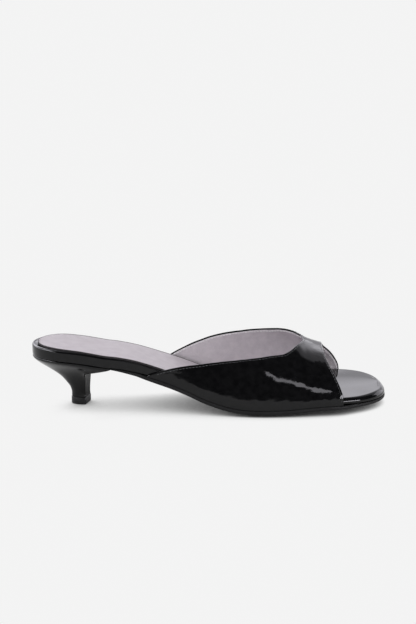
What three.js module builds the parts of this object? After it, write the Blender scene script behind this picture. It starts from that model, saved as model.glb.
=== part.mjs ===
// A kitten heel mule for the right foot, in millimetres, +Z up, toe towards +X, outer side towards -Y.
// It stands on the heel's top piece and on the tread of the ball, both in the plane z = 0.
// Its origin is on the floor, under the middle of the whole shoe.
import * as THREE from "three";

// Driving sizes of the last and the sole
const shoeLength = 241.5;
const ballWidth = 76;
const seatHeight = 35.9;
const toeSpring = 3.8;
const heelRoundLength = 26;
const outerToeLength = 46;
const innerToeLength = 32;
const heelRoundPower = 2.1;
const outerToePower = 2.2;
const innerToePower = 2.65;

// Thicknesses and clearances
const outsoleThickness = 3;
const boardThickness = 7.2;
const boardEdgeRadius = 1.9;
const boardCrown = 1.2;
const toeEdgeDrop = 1.3;
const edgeLift = 1.6;
const flatShare = 0.5;
const sockThickness = 0.8;
const sockMargin = 2;
const sockEndShare = 0.77;
const upperWall = 1.8;
const seatingGap = 0.3;
const treadEdgeRadius = 1;

// The upper
const instepHeight = 49.5;
const ridgeShift = 7;
const wallPower = 2.3;

// The heel and its top piece
const topPieceHeight = 5;
const stemLength = 11.2;
const stemWidth = 12.4;
const stemBack = 26;
const stemTurn = 15;
const stemPower = 2.4;
const breastAngle = 53;
const topPieceLip = 0.25;
const topPieceChamfer = 0.5;
const flangeEnd = 55;
const heelInset = 0.5;

// Half widths of the insole board from the heel to the toe, as shares of ballWidth
const outline = [
  { along: 0, outer: 0.321, inner: 0.31 },
  { along: 0.1, outer: 0.332, inner: 0.318 },
  { along: 0.2, outer: 0.332, inner: 0.308 },
  { along: 0.3, outer: 0.329, inner: 0.289 },
  { along: 0.35, outer: 0.337, inner: 0.289 },
  { along: 0.42, outer: 0.371, inner: 0.316 },
  { along: 0.5, outer: 0.432, inner: 0.379 },
  { along: 0.58, outer: 0.484, inner: 0.439 },
  { along: 0.65, outer: 0.508, inner: 0.479 },
  { along: 0.72, outer: 0.505, inner: 0.497 },
  { along: 0.8, outer: 0.487, inner: 0.495 },
  { along: 0.88, outer: 0.467, inner: 0.484 },
  { along: 1, outer: 0.447, inner: 0.474 },
];

// Underside of the sole: rise as a share of seatHeight in the arch, of toeSpring at the toe
const tread = [
  { along: 0, arch: 1, spring: 0 },
  { along: 0.06, arch: 0.985, spring: 0 },
  { along: 0.13, arch: 0.935, spring: 0 },
  { along: 0.19, arch: 0.862, spring: 0 },
  { along: 0.24, arch: 0.79, spring: 0 },
  { along: 0.29, arch: 0.69, spring: 0 },
  { along: 0.34, arch: 0.57, spring: 0 },
  { along: 0.39, arch: 0.445, spring: 0 },
  { along: 0.435, arch: 0.32, spring: 0 },
  { along: 0.48, arch: 0.185, spring: 0 },
  { along: 0.53, arch: 0.075, spring: 0 },
  { along: 0.57, arch: 0.018, spring: 0 },
  { along: 0.6, arch: 0, spring: 0 },
  { along: 0.68, arch: 0, spring: 0 },
  { along: 0.73, arch: 0, spring: 0.2 },
  { along: 0.78, arch: 0, spring: 0.44 },
  { along: 0.84, arch: 0, spring: 0.66 },
  { along: 0.9, arch: 0, spring: 0.82 },
  { along: 1, arch: 0, spring: 1 },
];

// Shares of outsoleThickness and boardThickness, how full the board's top is as a share of boardCrown,
// how much the edges of all layers turn up as a share of edgeLift, and how far the board's top falls to
// its outer edge as a share of toeEdgeDrop
const layers = [
  { along: 0, outsole: 0, board: 1, crown: -0.6, lift: 0, drop: 0 },
  { along: 0.2, outsole: 0.1, board: 0.97, crown: -0.4, lift: 0, drop: 0 },
  { along: 0.24, outsole: 0.42, board: 0.96, crown: -0.2, lift: 0, drop: 0 },
  { along: 0.3, outsole: 0.85, board: 0.95, crown: 0, lift: 0.1, drop: 0 },
  { along: 0.36, outsole: 1, board: 0.94, crown: 0, lift: 0.3, drop: 0 },
  { along: 0.4, outsole: 1, board: 0.93, crown: 0, lift: 0.5, drop: 0 },
  { along: 0.6, outsole: 1, board: 0.82, crown: -0.2, lift: 1, drop: 0 },
  { along: 0.8, outsole: 0.93, board: 0.79, crown: 0.5, lift: 1, drop: 0.5 },
  { along: 0.86, outsole: 0.88, board: 0.78, crown: 1.2, lift: 0.7, drop: 1 },
  { along: 0.9, outsole: 0.85, board: 0.77, crown: 1.2, lift: 0.45, drop: 1 },
  { along: 1, outsole: 0.7, board: 0.75, crown: 1, lift: 0.2, drop: 0 },
];

// How far the outsole stands out past the board on each side, as a share of what the upper needs
const soleEdge = [
  { along: 0, outer: 0, inner: 0 },
  { along: 0.29, outer: 0, inner: 0 },
  { along: 0.32, outer: 0.75, inner: 0.1 },
  { along: 0.36, outer: 1, inner: 0.8 },
  { along: 0.4, outer: 1, inner: 1 },
  { along: 0.86, outer: 1, inner: 1 },
  { along: 0.895, outer: 0.25, inner: 0.95 },
  { along: 0.93, outer: 0.1, inner: 0.25 },
  { along: 1, outer: 0.1, inner: 0.1 },
];

// The last above the board: ridge height over the feather line as a share of instepHeight, and how far
// the ridge lies to the inner side as a share of ridgeShift
const ridge = [
  { along: 0.3, height: 0.88, shift: 0.6 },
  { along: 0.45, height: 0.95, shift: 0.8 },
  { along: 0.58, height: 0.975, shift: 1 },
  { along: 0.66, height: 0.955, shift: 1.1 },
  { along: 0.72, height: 0.885, shift: 1.2 },
  { along: 0.745, height: 0.838, shift: 1.18 },
  { along: 0.77, height: 0.758, shift: 1.15 },
  { along: 0.795, height: 0.692, shift: 1.12 },
  { along: 0.82, height: 0.643, shift: 1.1 },
  { along: 0.9, height: 0.49, shift: 1 },
];

// The cut edges of the upper: round goes from -1 at the outer feather line over the ridge, 0, to 1 at
// the inner one; throat and toe are where the edges lie along the shoe
const cutEdges = [
  { round: -1, throat: 0.323, toe: 0.862 },
  { round: -0.9, throat: 0.378, toe: 0.861 },
  { round: -0.79, throat: 0.437, toe: 0.855 },
  { round: -0.665, throat: 0.503, toe: 0.846 },
  { round: -0.575, throat: 0.571, toe: 0.839 },
  { round: -0.528, throat: 0.634, toe: 0.835 },
  { round: -0.457, throat: 0.701, toe: 0.829 },
  { round: -0.31, throat: 0.738, toe: 0.822 },
  { round: -0.18, throat: 0.757, toe: 0.821 },
  { round: -0.06, throat: 0.766, toe: 0.823 },
  { round: 0.05, throat: 0.767, toe: 0.826 },
  { round: 0.13, throat: 0.758, toe: 0.829 },
  { round: 0.19, throat: 0.741, toe: 0.831 },
  { round: 0.25, throat: 0.705, toe: 0.832 },
  { round: 0.3, throat: 0.686, toe: 0.835 },
  { round: 0.34, throat: 0.664, toe: 0.838 },
  { round: 0.375, throat: 0.629, toe: 0.841 },
  { round: 0.423, throat: 0.582, toe: 0.849 },
  { round: 0.52, throat: 0.529, toe: 0.864 },
  { round: 0.66, throat: 0.476, toe: 0.88 },
  { round: 0.82, throat: 0.423, toe: 0.892 },
  { round: 1, throat: 0.36, toe: 0.896 },
];

// How the heel widens from its stem, height 0, to the seat, height 1: shares of the way from the stem's
// section to the seat's outline, towards the back, the sides and the front
const heelFlare = [
  { height: 0, back: 0, side: 0, front: 0 },
  { height: 0.08, back: 0, side: -0.01, front: -0.01 },
  { height: 0.2, back: 0.035, side: 0.03, front: -0.01 },
  { height: 0.34, back: 0.15, side: 0.11, front: 0 },
  { height: 0.48, back: 0.297, side: 0.22, front: 0.01 },
  { height: 0.6, back: 0.48, side: 0.35, front: 0.025 },
  { height: 0.7, back: 0.65, side: 0.49, front: 0.04 },
  { height: 0.78, back: 0.785, side: 0.64, front: 0.08 },
  { height: 0.83, back: 0.86, side: 0.75, front: 0.36 },
  { height: 0.9, back: 0.95, side: 0.9, front: 0.7 },
  { height: 0.935, back: 0.985, side: 0.965, front: 0.84 },
  { height: 0.965, back: 1, side: 1, front: 0.93 },
  { height: 1, back: 1, side: 1, front: 1 },
];

// How finely the forms are drawn
const outlineSteps = 40;
const acrossSteps = 8;
const upperRoundSteps = 64;
const upperAlongSteps = 18;
const fineSteps = 400;
const edgeSteps = 3;
const stemSteps = 18;
const frontSteps = 8;
const closedUp = 0.001;
const slopeStep = 0.25;

// A smooth curve through one column of a table; it doesn't overshoot between rows
function curve(rows, key, column) {
  const at = rows.map((row) => row[key]);
  const value = rows.map((row) => row[column]);
  const step = at.slice(1).map((a, i) => a - at[i]);
  const slope = step.map((h, i) => (value[i + 1] - value[i]) / h);
  const tangent = at.map((_, i) => {
    if (i === 0) return slope[0];
    if (i === at.length - 1) return slope[i - 1];
    if (slope[i - 1] * slope[i] <= 0) return 0;
    const before = 2 * step[i] + step[i - 1];
    const after = step[i] + 2 * step[i - 1];
    return (before + after) / (before / slope[i - 1] + after / slope[i]);
  });
  return (x) => {
    const t = Math.min(Math.max(x, at[0]), at[at.length - 1]);
    const i = Math.max(0, at.findLastIndex((a, j) => a <= t && j < at.length - 1));
    const u = (t - at[i]) / step[i];
    const u2 = u * u;
    const u3 = u2 * u;
    return (
      (2 * u3 - 3 * u2 + 1) * value[i] +
      (u3 - 2 * u2 + u) * step[i] * tangent[i] +
      (3 * u2 - 2 * u3) * value[i + 1] +
      (u3 - u2) * step[i] * tangent[i + 1]
    );
  };
}

const outerShare = curve(outline, "along", "outer");
const innerShare = curve(outline, "along", "inner");
const archShare = curve(tread, "along", "arch");
const springShare = curve(tread, "along", "spring");
const outsoleShare = curve(layers, "along", "outsole");
const boardShare = curve(layers, "along", "board");
const outerStand = curve(soleEdge, "along", "outer");
const innerStand = curve(soleEdge, "along", "inner");
const crownShare = curve(layers, "along", "crown");
const liftShare = curve(layers, "along", "lift");
const dropShare = curve(layers, "along", "drop");
const ridgeShare = curve(ridge, "along", "height");
const shiftShare = curve(ridge, "along", "shift");
const throatShare = curve(cutEdges, "round", "throat");
const toeShare = curve(cutEdges, "round", "toe");
const backFlare = curve(heelFlare, "height", "back");
const sideFlare = curve(heelFlare, "height", "side");
const frontFlare = curve(heelFlare, "height", "front");

// Narrows a half width to nothing over the last length of an end
function endRound(distance, length, power) {
  const share = Math.min(Math.max(1 - distance / length, 0), 1);
  return (1 - share ** power) ** (1 / power);
}

function outerHalfWidth(x) {
  const heelEnd = endRound(x, heelRoundLength, heelRoundPower);
  const toeEnd = endRound(shoeLength - x, outerToeLength, outerToePower);
  return ballWidth * outerShare(x / shoeLength) * heelEnd * toeEnd;
}

function innerHalfWidth(x) {
  const heelEnd = endRound(x, heelRoundLength, heelRoundPower);
  const toeEnd = endRound(shoeLength - x, innerToeLength, innerToePower);
  return ballWidth * innerShare(x / shoeLength) * heelEnd * toeEnd;
}

// Heights of the layers; across runs from -1 at the outer edge to 1 at the inner one, and between the
// shares flatShare of the half widths every layer is flat across
function treadZ(x, across) {
  const along = x / shoeLength;
  const rim = Math.max((Math.abs(across) - flatShare) / (1 - flatShare), 0) ** 2;
  const base = seatHeight * archShare(along) + toeSpring * springShare(along);
  return base + edgeLift * liftShare(along) * rim;
}

function outsoleTopZ(x, across) {
  return treadZ(x, across) + outsoleThickness * outsoleShare(x / shoeLength);
}

function boardBottomZ(x, across) {
  return outsoleTopZ(x, across) + seatingGap;
}

function boardTopZ(x, across) {
  const along = x / shoeLength;
  const crown = boardCrown * crownShare(along) * (1 - across * across);
  const drop = toeEdgeDrop * dropShare(along) * Math.min(across, 0) ** 2;
  return boardBottomZ(x, across) + boardThickness * boardShare(along) + crown - drop;
}

// A point of the plan outline, moved out square to it; side is -1 on the outer side, 1 on the inner side
function outlinePoint(x, side, out) {
  const half = side < 0 ? outerHalfWidth : innerHalfWidth;
  const before = Math.max(x - slopeStep, 0);
  const after = Math.min(x + slopeStep, shoeLength);
  const run = after - before;
  const rise = half(after) - half(before);
  const length = Math.hypot(run, rise);
  return { x: x - (rise / length) * out, y: side * (half(x) + (run / length) * out) };
}

// Plan points of a sole layer in a grid: i runs from the back end to the front end, k from the outer to
// the inner side. A round end closes to one point.
function planGrid({ from, to, out }) {
  const roundBack = from === 0;
  const roundFront = to === shoeLength;
  const rows = [];
  for (let i = 0; i <= outlineSteps; i++) {
    const t = i / outlineSteps;
    const back = roundBack ? 1 : 0;
    const front = roundFront ? 1 : 0;
    const eased = 0.5 - 0.5 * Math.cos(Math.PI * t);
    const early = 1 - Math.cos((Math.PI * t) / 2);
    const late = Math.sin((Math.PI * t) / 2);
    const share = back && front ? eased : back ? early : front ? late : t;
    const x = from + (to - from) * share;
    const reach = (side) => (typeof out === "function" ? out(x, side) : out);
    const tip = (roundBack && i === 0) || (roundFront && i === outlineSteps);
    const end = i === 0 ? -1 : 1;
    const outer = tip ? { x: x + end * reach(end), y: 0 } : outlinePoint(x, -1, reach(-1));
    const inner = tip ? outer : outlinePoint(x, 1, reach(1));
    if (!roundBack && i === 0) outer.x = inner.x = from;
    if (!roundFront && i === outlineSteps) outer.x = inner.x = to;
    const row = [];
    for (let k = 0; k <= acrossSteps; k++) {
      const s = k / acrossSteps;
      row.push({
        x: outer.x + (inner.x - outer.x) * s,
        y: outer.y + (inner.y - outer.y) * s,
        across: tip ? 1 : 2 * s - 1,
      });
    }
    rows.push(row);
  }
  return rows;
}

// Collects triangles, leaving out those that have closed up to a line
class Skin {
  constructor() {
    this.points = [];
  }

  triangle(a, b, c) {
    const same = (p, q) => p.distanceTo(q) < closedUp;
    if (!same(a, b) && !same(b, c) && !same(c, a)) this.points.push(a, b, c);
  }

  quad(a, b, c, d) {
    this.triangle(a, b, c);
    this.triangle(a, c, d);
  }

  geometry() {
    const made = new THREE.BufferGeometry().setFromPoints(this.points);
    made.computeVertexNormals();
    return made;
  }
}

// The edge of a grid as one closed loop, counter-clockwise from above
function edgeLoop(grid) {
  const last = grid.length - 1;
  const side = grid[0].length - 1;
  const loop = [];
  for (let i = 0; i < last; i++) loop.push([i, 0]);
  for (let k = 0; k < side; k++) loop.push([last, k]);
  for (let i = last; i > 0; i--) loop.push([i, side]);
  for (let k = side; k > 0; k--) loop.push([0, k]);
  return loop;
}

// A closed layer: the first and last grids are its top and bottom, the grids between only give its side
function layerGeometry(grids) {
  const skin = new Skin();
  const top = grids[0];
  const bottom = grids[grids.length - 1];
  for (let i = 0; i < top.length - 1; i++) {
    for (let k = 0; k < top[0].length - 1; k++) {
      skin.quad(top[i][k], top[i + 1][k], top[i + 1][k + 1], top[i][k + 1]);
      skin.quad(bottom[i][k], bottom[i][k + 1], bottom[i + 1][k + 1], bottom[i + 1][k]);
    }
  }
  const loop = edgeLoop(top);
  for (let level = 0; level < grids.length - 1; level++) {
    const upper = grids[level];
    const lower = grids[level + 1];
    loop.forEach(([i, k], n) => {
      const [j, m] = loop[(n + 1) % loop.length];
      skin.quad(upper[i][k], lower[i][k], lower[j][m], upper[j][m]);
    });
  }
  return skin.geometry();
}

// One level of a sole layer: the plan of reach out past the outline, at the height that z gives
function level(from, to, out, z) {
  return planGrid({ from, to, out }).map((row) =>
    row.map((p) => new THREE.Vector3(p.x, p.y, z(p.x, p.across))),
  );
}

function outsole() {
  const from = flangeEnd + seatingGap;
  const stand = (x, side) => {
    const share = side < 0 ? outerStand(x / shoeLength) : innerStand(x / shoeLength);
    return (upperWall + seatingGap) * share;
  };
  const ring = (inset, z) => level(from, shoeLength, (x, side) => stand(x, side) - inset, z);
  const edgeShare = 0.35;
  const between = (share) => (x, across) =>
    THREE.MathUtils.lerp(treadZ(x, across), outsoleTopZ(x, across), share);
  return layerGeometry([
    ring(edgeShare * treadEdgeRadius, outsoleTopZ),
    ring(0, between(1 - edgeShare / 2)),
    ring(0, between(edgeShare)),
    ring(treadEdgeRadius, treadZ),
  ]);
}

function insoleBoard() {
  const ring = (inset, z) => level(0, shoeLength, -inset, z);
  const grids = [];
  for (let i = 0; i <= edgeSteps; i++) {
    const angle = (Math.PI / 2) * (i / edgeSteps);
    const inset = boardEdgeRadius * (1 - Math.sin(angle));
    const drop = boardEdgeRadius * (1 - Math.cos(angle));
    grids.push(ring(inset, (x, across) => boardTopZ(x, across) - drop));
  }
  const lowerEdge = boardEdgeRadius / 3;
  grids.push(ring(0, (x, across) => boardBottomZ(x, across) + lowerEdge));
  grids.push(ring(lowerEdge, boardBottomZ));
  return layerGeometry(grids);
}

function sockLining() {
  const sockEnd = sockEndShare * shoeLength;
  const bottom = (x, across) => boardTopZ(x, across) + seatingGap;
  const top = (x, across) => bottom(x, across) + sockThickness;
  return layerGeometry([
    level(0, sockEnd, -sockMargin - sockThickness / 2, top),
    level(0, sockEnd, -sockMargin, (x, across) => bottom(x, across) + sockThickness / 2),
    level(0, sockEnd, -sockMargin, bottom),
  ]);
}

// Outer surface of the upper on the last: a section square to the shoe at x, round from -1 to 1
function lastPoint(x, round) {
  const along = x / shoeLength;
  const side = round < 0 ? -1 : 1;
  const angle = (Math.abs(round) * Math.PI) / 2;
  const reach = upperWall + seatingGap;
  const shift = ridgeShift * shiftShare(along);
  const half = (side < 0 ? outerHalfWidth(x) : innerHalfWidth(x)) + reach - side * shift;
  const height = instepHeight * ridgeShare(along);
  return new THREE.Vector3(
    x,
    shift + side * half * Math.sin(angle) ** (2 / wallPower),
    boardBottomZ(x, side) + height * Math.max(Math.cos(angle), 0) ** (2 / wallPower),
  );
}

function lastNormal(x, round) {
  const roundStep = 0.01;
  const low = Math.max(round - roundStep, -1);
  const high = Math.min(round + roundStep, 1);
  const along = lastPoint(x + slopeStep, round).sub(lastPoint(x - slopeStep, round));
  const across = lastPoint(x, high).sub(lastPoint(x, low));
  return along.cross(across).normalize();
}

// The rounds at which the upper is drawn, spaced by the length of its two cut edges
function upperRounds() {
  const edges = [throatShare, toeShare];
  const at = (i) => (2 * i) / fineSteps - 1;
  const length = [0];
  for (let i = 1; i <= fineSteps; i++) {
    const run = edges.map((edge) => {
      const before = lastPoint(shoeLength * edge(at(i - 1)), at(i - 1));
      return before.distanceTo(lastPoint(shoeLength * edge(at(i)), at(i)));
    });
    length.push(length[i - 1] + run[0] + run[1]);
  }
  const rounds = [];
  for (let n = 0; n <= upperRoundSteps; n++) {
    const wanted = (length[fineSteps] * n) / upperRoundSteps;
    const i = Math.max(1, length.findIndex((done) => done >= wanted));
    rounds.push(at(i - 1 + (wanted - length[i - 1]) / (length[i] - length[i - 1])));
  }
  rounds[0] = -1;
  rounds[upperRoundSteps] = 1;
  return rounds;
}

function upper() {
  const skin = new Skin();
  const outer = [];
  const inner = [];
  upperRounds().forEach((round, i) => {
    const from = shoeLength * throatShare(round);
    const to = shoeLength * toeShare(round);
    outer.push([]);
    inner.push([]);
    for (let j = 0; j <= upperAlongSteps; j++) {
      const x = from + ((to - from) * j) / upperAlongSteps;
      const point = lastPoint(x, round);
      const inside = point.clone().addScaledVector(lastNormal(x, round), -upperWall);
      if (Math.abs(round) === 1) inside.z = boardBottomZ(inside.x, round);
      outer[i].push(point);
      inner[i].push(inside);
    }
  });
  for (let i = 0; i < upperRoundSteps; i++) {
    for (let j = 0; j < upperAlongSteps; j++) {
      skin.quad(outer[i][j], outer[i][j + 1], outer[i + 1][j + 1], outer[i + 1][j]);
      skin.quad(inner[i][j], inner[i + 1][j], inner[i + 1][j + 1], inner[i][j + 1]);
    }
    const end = upperAlongSteps;
    skin.quad(outer[i][0], outer[i + 1][0], inner[i + 1][0], inner[i][0]);
    skin.quad(outer[i][end], inner[i][end], inner[i + 1][end], outer[i + 1][end]);
  }
  for (let j = 0; j < upperAlongSteps; j++) {
    const end = upperRoundSteps;
    skin.quad(outer[0][j], inner[0][j], inner[0][j + 1], outer[0][j + 1]);
    skin.quad(outer[end][j], outer[end][j + 1], inner[end][j + 1], inner[end][j]);
  }
  return skin.geometry();
}

// The stem's section, a round back with a flat breast: a loop from the back along the outer side, across
// the breast and back along the inner side, grown by out
function stemLoop(out) {
  const cosBreast = Math.cos(THREE.MathUtils.degToRad(breastAngle)) ** (2 / stemPower);
  const halfLength = stemLength / (1 + cosBreast) + out;
  const halfWidth = stemWidth / 2 + out;
  const centre = stemBack + stemLength / (1 + cosBreast);
  const sidePoint = (share, side) => {
    const angle = Math.PI - share * (Math.PI - THREE.MathUtils.degToRad(breastAngle));
    const cos = Math.cos(angle);
    return new THREE.Vector2(
      halfLength * Math.sign(cos) * Math.abs(cos) ** (2 / stemPower),
      side * halfWidth * Math.max(Math.sin(angle), 0) ** (2 / stemPower),
    );
  };
  const loop = [];
  for (let i = 0; i < stemSteps; i++) loop.push(sidePoint(i / stemSteps, -1));
  const cornerOuter = sidePoint(1, -1);
  const cornerInner = sidePoint(1, 1);
  for (let k = 0; k < frontSteps; k++) {
    loop.push(cornerOuter.clone().lerp(cornerInner, k / frontSteps));
  }
  for (let i = stemSteps; i > 0; i--) loop.push(sidePoint(i / stemSteps, 1));
  const turn = THREE.MathUtils.degToRad(-stemTurn);
  const middle = new THREE.Vector2(centre, 0);
  return loop.map((p) => p.rotateAround(new THREE.Vector2(), turn).add(middle));
}

// The seat's outline under the board, with the same count of points as the stem's section
function seatLoop() {
  const from = heelInset;
  const side = (share, sign) => {
    const x = from + (flangeEnd - from) * (1 - Math.cos((share * Math.PI) / 2));
    const point = outlinePoint(x, sign, -heelInset);
    return new THREE.Vector2(share === 1 ? flangeEnd : point.x, share === 0 ? 0 : point.y);
  };
  const loop = [];
  for (let i = 0; i < stemSteps; i++) loop.push(side(i / stemSteps, -1));
  for (let k = 0; k < frontSteps; k++) {
    loop.push(side(1, -1).lerp(side(1, 1), k / frontSteps));
  }
  for (let i = stemSteps; i > 0; i--) loop.push(side(i / stemSteps, 1));
  return loop;
}

// Joins closed loops, from the top down, into a solid; the end loops are filled by strips across
function loopSolid(loops) {
  const skin = new Skin();
  const count = loops[0].length;
  for (let level = 0; level < loops.length - 1; level++) {
    const upperLoop = loops[level];
    const lowerLoop = loops[level + 1];
    for (let n = 0; n < count; n++) {
      const m = (n + 1) % count;
      skin.quad(upperLoop[n], lowerLoop[n], lowerLoop[m], upperLoop[m]);
    }
  }
  const fill = (loop, up) => {
    const middle = (count - frontSteps) / 2;
    for (let n = 0; n < middle; n++) {
      const a = loop[n];
      const b = loop[n + 1];
      const c = loop[(count - n - 1) % count];
      const d = loop[(count - n) % count];
      if (n === middle - 1) {
        fillFront(skin, loop, n, up);
      } else if (up) {
        skin.quad(a, b, c, d);
      } else {
        skin.quad(a, d, c, b);
      }
    }
  };
  fill(loops[0], true);
  fill(loops[loops.length - 1], false);
  return skin.geometry();
}

// Fills the last strip of an end loop, from its two sides to the points of the flat front
function fillFront(skin, loop, n, up) {
  const count = loop.length;
  const a = loop[n];
  const d = loop[(count - n) % count];
  const middle = n + 1 + frontSteps / 2;
  const fan = (p, q, r) => (up ? skin.triangle(p, q, r) : skin.triangle(p, r, q));
  for (let k = n + 1; k < middle; k++) fan(a, loop[k], loop[k + 1]);
  fan(a, loop[middle], d);
  for (let k = middle; k < n + 1 + frontSteps; k++) fan(d, loop[k], loop[k + 1]);
}

function heel() {
  const stem = stemLoop(0);
  const seat = seatLoop();
  const stemZ = topPieceHeight + seatingGap;
  const loops = [...heelFlare].reverse().map(({ height }) =>
    stem.map((from, n) => {
      const to = seat[n];
      const forward = to.x > from.x ? frontFlare(height) : backFlare(height);
      const seatZ = outsoleTopZ(to.x, 1);
      return new THREE.Vector3(
        from.x + (to.x - from.x) * forward,
        from.y + (to.y - from.y) * sideFlare(height),
        stemZ + (seatZ - stemZ) * height,
      );
    }),
  );
  return loopSolid(loops);
}

function topPiece() {
  const at = (out, z) => stemLoop(out).map((p) => new THREE.Vector3(p.x, p.y, z));
  return loopSolid([
    at(0, topPieceHeight),
    at(topPieceLip, topPieceHeight - topPieceLip),
    at(topPieceLip, topPieceChamfer),
    at(topPieceLip - topPieceChamfer, 0),
  ]);
}

function finish(color, roughness, metalness = 0) {
  return new THREE.MeshStandardMaterial({ color, roughness, metalness });
}

function piece(name, geometry, material) {
  const mesh = new THREE.Mesh(geometry, material);
  mesh.name = name;
  return mesh;
}

const patent = finish(0x0b0b0c, 0.08);
const mule = new THREE.Group();
mule.add(
  piece("outsole", outsole(), finish(0x161617, 0.55)),
  piece("insole_board", insoleBoard(), patent),
  piece("sock_lining", sockLining(), finish(0xb7b0b6, 0.6)),
  piece("upper", upper(), patent),
  piece("heel", heel(), finish(0x121213, 0.2)),
  piece("top_piece", topPiece(), finish(0x1c1c1e, 0.6)),
);

// Sets the origin on the floor, under the middle of the whole shoe
const bounds = new THREE.Box3().setFromObject(mule);
const middle = bounds.getCenter(new THREE.Vector3());
mule.position.set(-middle.x, -middle.y, 0);

export default mule;
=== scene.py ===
# %% [markdown]
# # A kitten heel mule in black patent leather
#
# This lesson dresses the plain CAD model of a slip-on shoe. The CAD model is the frame: it fixes where
# every piece is. Here each piece is drawn again on the same curves, with rounded edges, stitches and
# leather, and then lit like a product on a pale studio floor. The frame's box is measured first and
# kept, because the finished shoe must still fit into it.

# %% Load the frame
import math

import bmesh
import bpy
import numpy as np
from mathutils import Matrix, Vector, noise


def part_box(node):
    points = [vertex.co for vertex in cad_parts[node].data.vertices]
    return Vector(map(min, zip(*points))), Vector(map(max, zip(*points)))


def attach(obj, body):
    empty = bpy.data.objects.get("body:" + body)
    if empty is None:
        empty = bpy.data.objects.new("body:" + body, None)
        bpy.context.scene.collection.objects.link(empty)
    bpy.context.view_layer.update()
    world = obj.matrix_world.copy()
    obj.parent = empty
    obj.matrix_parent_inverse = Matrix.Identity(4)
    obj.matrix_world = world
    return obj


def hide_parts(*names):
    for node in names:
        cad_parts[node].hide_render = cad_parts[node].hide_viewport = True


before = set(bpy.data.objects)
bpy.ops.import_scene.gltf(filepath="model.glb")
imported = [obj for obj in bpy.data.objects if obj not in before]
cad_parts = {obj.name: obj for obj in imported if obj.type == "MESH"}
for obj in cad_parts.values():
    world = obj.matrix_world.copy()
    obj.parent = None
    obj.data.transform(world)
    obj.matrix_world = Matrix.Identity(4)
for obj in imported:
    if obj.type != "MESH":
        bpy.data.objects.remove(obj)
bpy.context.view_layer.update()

# %% [markdown]
# ## The shoe's own sizes
#
# A shoemaker measures along the insole board from the back of the heel. The same is done here: x runs
# from the heel to the toe, y across from the outer side, which is negative, to the inner side, and z
# up from the floor, all in millimetres. Only the last step of each mesh turns them into metres in the
# frame. The board's box gives the length and the width, so the drawing follows the CAD model.

# %% Sizes from the frame
LENGTH = 241.5
board_low, board_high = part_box("insole_board")
tip_low, tip_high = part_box("top_piece")
MM = (board_high.x - board_low.x) / LENGTH
BALL_WIDTH = 76
SEAT_HEIGHT = 35.9
TOE_SPRING = 3.8
OUTSOLE_THICKNESS = 3
BOARD_THICKNESS = 7.2
BOARD_CROWN = 1.2
TOE_EDGE_DROP = 1.3
EDGE_LIFT = 1.6
FLAT_SHARE = 0.5
SEATING_GAP = 0.3
UPPER_WALL = 1.8
INSTEP_HEIGHT = 49.5
RIDGE_SHIFT = 7
WALL_POWER = 2.3
TOP_PIECE_HEIGHT = (tip_high.z - tip_low.z) / MM
print("one drawn millimetre is", round(MM * 1000, 4), "mm; top piece", round(TOP_PIECE_HEIGHT, 2), "mm")

# %% [markdown]
# ## Curves through short tables
#
# A last, the form a shoe is made on, is described by a few numbers at a few places along it. Each
# table below has such places in its first column, as shares of the length, and one named column for
# each thing that changes. A smooth curve runs through a column without overshooting, so nothing bulges
# between two rows.

# %% A smooth curve through a column
def smooth_curve(at, value):
    at = np.array(at, float)
    value = np.array(value, float)
    step = np.diff(at)
    slope = np.diff(value) / step
    tangent = np.zeros(len(at))
    tangent[0], tangent[-1] = slope[0], slope[-1]
    for i in range(1, len(at) - 1):
        if slope[i - 1] * slope[i] > 0:
            before = 2 * step[i] + step[i - 1]
            after = step[i] + 2 * step[i - 1]
            tangent[i] = (before + after) / (before / slope[i - 1] + after / slope[i])

    def curve(x):
        t = np.clip(x, at[0], at[-1])
        i = np.clip(np.searchsorted(at, t, side="right") - 1, 0, len(step) - 1)
        u = (t - at[i]) / step[i]
        rise = 3 * u**2 - 2 * u**3
        return (
            (1 - rise) * value[i]
            + rise * value[i + 1]
            + (u**3 - 2 * u**2 + u) * step[i] * tangent[i]
            + (u**3 - u**2) * step[i] * tangent[i + 1]
        )

    return curve


def columns(names, rows):
    """One smooth curve for each column after the first."""
    table = list(zip(*rows))
    return {name: smooth_curve(table[0], column) for name, column in zip(names, table[1:])}


ramp_up = smooth_curve((0, 1, 2), (0, 1, 1))
print("a curve through 0, 1 and 1 is", round(float(ramp_up(0.5)), 3), "at the first half step")

# %% [markdown]
# ### The outline of the board
#
# Seen from above, a shoe is a long shape with a narrow waist, a wide ball and a toe that leans to the
# big toe's side. It could be traced as one closed curve. Two half widths along the middle line are
# easier to change: one column for the outer side and one for the inner side, both as shares of the
# ball's width. Super-ellipses close the two ends, because a table can't turn a full corner.

# %% A table of half widths
outline = columns(
    ("outer", "inner"),
    [
        (0, 0.321, 0.31),
        (0.1, 0.332, 0.318),
        (0.2, 0.332, 0.308),
        (0.3, 0.329, 0.289),
        (0.35, 0.337, 0.289),
        (0.42, 0.371, 0.316),
        (0.5, 0.432, 0.379),
        (0.58, 0.484, 0.439),
        (0.65, 0.508, 0.479),
        (0.72, 0.505, 0.497),
        (0.8, 0.487, 0.495),
        (0.88, 0.467, 0.484),
        (1, 0.447, 0.474),
    ],
)
print("half widths at the ball:", round(BALL_WIDTH * float(outline["outer"](0.66)), 1), "mm outer,",
      round(BALL_WIDTH * float(outline["inner"](0.66)), 1), "mm inner")


# %% Half widths with rounded ends
def end_round(distance, length, power):
    share = np.clip(1 - distance / length, 0, 1)
    return (1 - share**power) ** (1 / power)


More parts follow.
